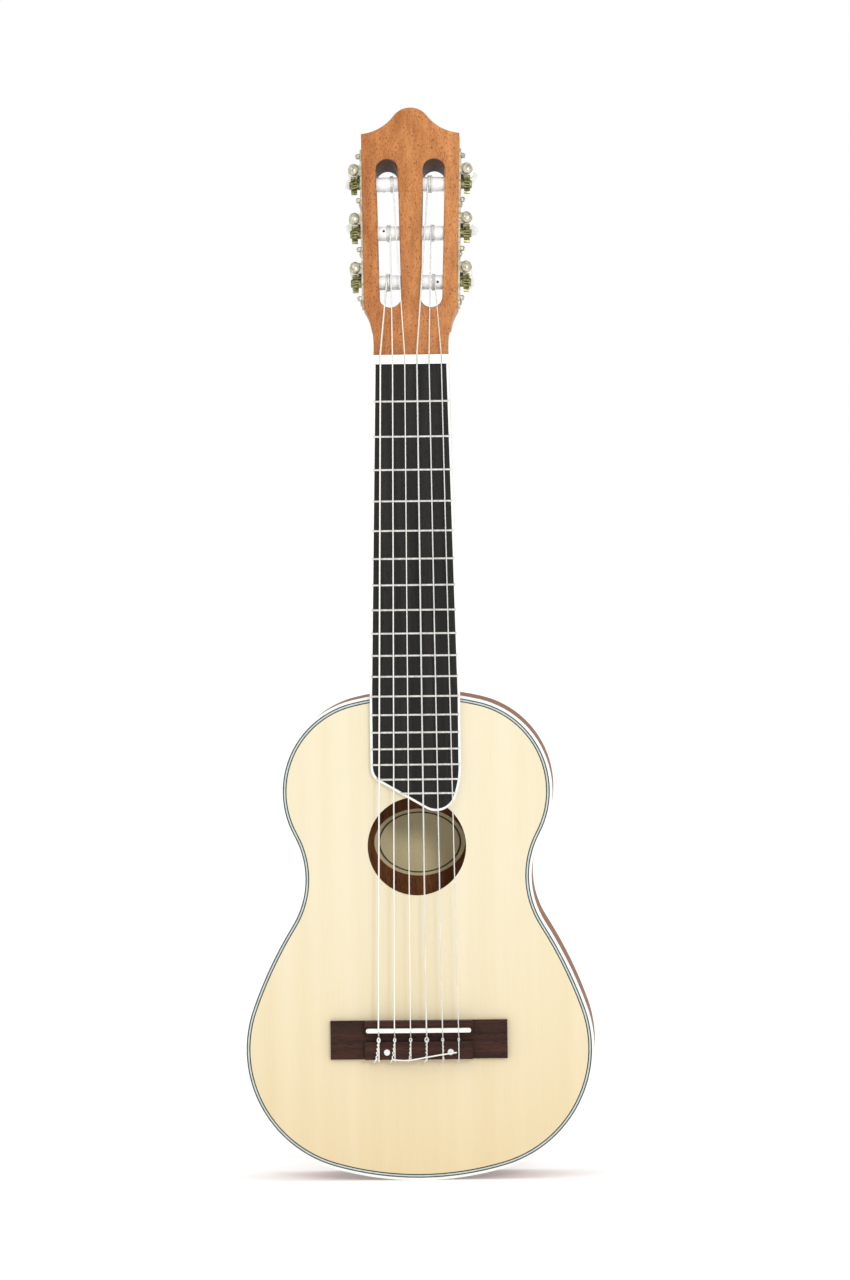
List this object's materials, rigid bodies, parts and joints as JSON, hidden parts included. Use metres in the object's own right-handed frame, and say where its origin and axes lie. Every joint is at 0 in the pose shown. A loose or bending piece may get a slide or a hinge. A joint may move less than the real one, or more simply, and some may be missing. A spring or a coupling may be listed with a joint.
{
  "type": "small acoustic guitar",
  "caption": "Small nylon-string guitar with a spruce top, slotted headstock, open worm-and-gear tuners, bound dark fretboard with a slanted end, and a tie bridge.",
  "frame": {"origin": "lowest point of the tail, on the middle line, at half the depth of the body", "axes": "+Z along the neck towards the headstock, +Y out of the back, +X to the treble side (right, seen from the front)"},
  "size_m": [0.2292, 0.0831, 0.7023],
  "materials": {
    "spruce_top": "satin lacquer",
    "body_mahogany": "satin lacquer",
    "inner_wood": "bare",
    "white_binding": "gloss",
    "black_line": "satin",
    "neck_mahogany": "satin lacquer",
    "dark_fretboard": "oiled",
    "fret_wire": "polished",
    "bridge_rosewood": "oiled",
    "white_bone": "polished",
    "pearl_dot": "polished",
    "label_paper": "paper, uncoated",
    "tuner_plate_metal": "polished",
    "string_treble": "clear nylon",
    "string_bass": "silver-plated winding on nylon",
    "pearl_button": "pearloid",
    "worm_steel": "turned",
    "gear_brass": "cut teeth",
    "white_roller": "moulded"
  },
  "bodies": {
    "guitar": {"soundboard": "spruce_top", "back_plate": "body_mahogany", "side_bass": "body_mahogany", "side_treble": "body_mahogany", "neck_block": "inner_wood", "tail_block": "inner_wood", "top_linings": "inner_wood", "back_linings": "inner_wood", "transverse_braces": "inner_wood", "back_braces": "inner_wood", "fan_braces": "inner_wood", "bridge_plate": "inner_wood", "top_binding": "white_binding", "back_binding": "white_binding", "fretboard_binding": "white_binding", "purfling_light_line": "white_binding", "purfling_dark_lines": "black_line", "neck": "neck_mahogany", "headstock": "neck_mahogany", "fretboard": "dark_fretboard", "frets": "fret_wire", "bridge": "bridge_rosewood", "nut": "white_bone", "saddle": "white_bone", "bridge_dots": "pearl_dot", "label": "label_paper", "tuner_plate_bass": "tuner_plate_metal", "tuner_plate_treble": "tuner_plate_metal", "plate_screws": "tuner_plate_metal", "string_1": "string_treble", "string_2": "string_treble", "string_3": "string_treble", "string_4": "string_bass", "string_5": "string_bass", "string_6": "string_bass"},
    "peg_1": {"button_1": "pearl_button", "worm_1": "worm_steel"},
    "capstan_1": {"gear_1": "gear_brass", "roller_1": "white_roller"},
    "peg_2": {"button_2": "pearl_button", "worm_2": "worm_steel"},
    "capstan_2": {"gear_2": "gear_brass", "roller_2": "white_roller"},
    "peg_3": {"button_3": "pearl_button", "worm_3": "worm_steel"},
    "capstan_3": {"gear_3": "gear_brass", "roller_3": "white_roller"},
    "peg_4": {"button_4": "pearl_button", "worm_4": "worm_steel"},
    "capstan_4": {"gear_4": "gear_brass", "roller_4": "white_roller"},
    "peg_5": {"button_5": "pearl_button", "worm_5": "worm_steel"},
    "capstan_5": {"gear_5": "gear_brass", "roller_5": "white_roller"},
    "peg_6": {"button_6": "pearl_button", "worm_6": "worm_steel"},
    "capstan_6": {"gear_6": "gear_brass", "roller_6": "white_roller"}
  },
  "joints": [
    {"name": "turn_1", "type": "hinge", "parent": "guitar", "child": "peg_1", "pos_m": [0.03639, -0.01415, 0.59512], "axis": [0, 0.9703, -0.2419], "continuous": true},
    {"name": "wind_1", "type": "hinge", "parent": "guitar", "child": "capstan_1", "pos_m": [0.03098, -0.01624, 0.58675], "axis": [0.9999, -0.0032, -0.0127], "continuous": true},
    {"name": "turn_2", "type": "hinge", "parent": "guitar", "child": "peg_2", "pos_m": [0.03682, -0.0061, 0.62743], "axis": [0, 0.9703, -0.2419], "continuous": true},
    {"name": "wind_2", "type": "hinge", "parent": "guitar", "child": "capstan_2", "pos_m": [0.03141, -0.00819, 0.61906], "axis": [0.9999, -0.0032, -0.0127], "continuous": true},
    {"name": "turn_3", "type": "hinge", "parent": "guitar", "child": "peg_3", "pos_m": [0.03726, 0.00196, 0.65974], "axis": [0, 0.9703, -0.2419], "continuous": true},
    {"name": "wind_3", "type": "hinge", "parent": "guitar", "child": "capstan_3", "pos_m": [0.03185, -0.00013, 0.65136], "axis": [0.9999, -0.0032, -0.0127], "continuous": true},
    {"name": "turn_4", "type": "hinge", "parent": "guitar", "child": "peg_4", "pos_m": [-0.03726, 0.00196, 0.65974], "axis": [0, 0.9703, -0.2419], "continuous": true},
    {"name": "wind_4", "type": "hinge", "parent": "guitar", "child": "capstan_4", "pos_m": [-0.03185, -0.00013, 0.65136], "axis": [0.9999, 0.0032, 0.0127], "continuous": true},
    {"name": "turn_5", "type": "hinge", "parent": "guitar", "child": "peg_5", "pos_m": [-0.03682, -0.0061, 0.62743], "axis": [0, 0.9703, -0.2419], "continuous": true},
    {"name": "wind_5", "type": "hinge", "parent": "guitar", "child": "capstan_5", "pos_m": [-0.03141, -0.00819, 0.61906], "axis": [0.9999, 0.0032, 0.0127], "continuous": true},
    {"name": "turn_6", "type": "hinge", "parent": "guitar", "child": "peg_6", "pos_m": [-0.03639, -0.01415, 0.59512], "axis": [0, 0.9703, -0.2419], "continuous": true},
    {"name": "wind_6", "type": "hinge", "parent": "guitar", "child": "capstan_6", "pos_m": [-0.03098, -0.01624, 0.58675], "axis": [0.9999, 0.0032, 0.0127], "continuous": true}
  ],
  "couplings": [
    {"joint": "wind_1", "follows": "turn_1", "ratio": 0.071429},
    {"joint": "wind_2", "follows": "turn_2", "ratio": 0.071429},
    {"joint": "wind_3", "follows": "turn_3", "ratio": 0.071429},
    {"joint": "wind_4", "follows": "turn_4", "ratio": -0.071429},
    {"joint": "wind_5", "follows": "turn_5", "ratio": -0.071429},
    {"joint": "wind_6", "follows": "turn_6", "ratio": -0.071429}
  ]
}
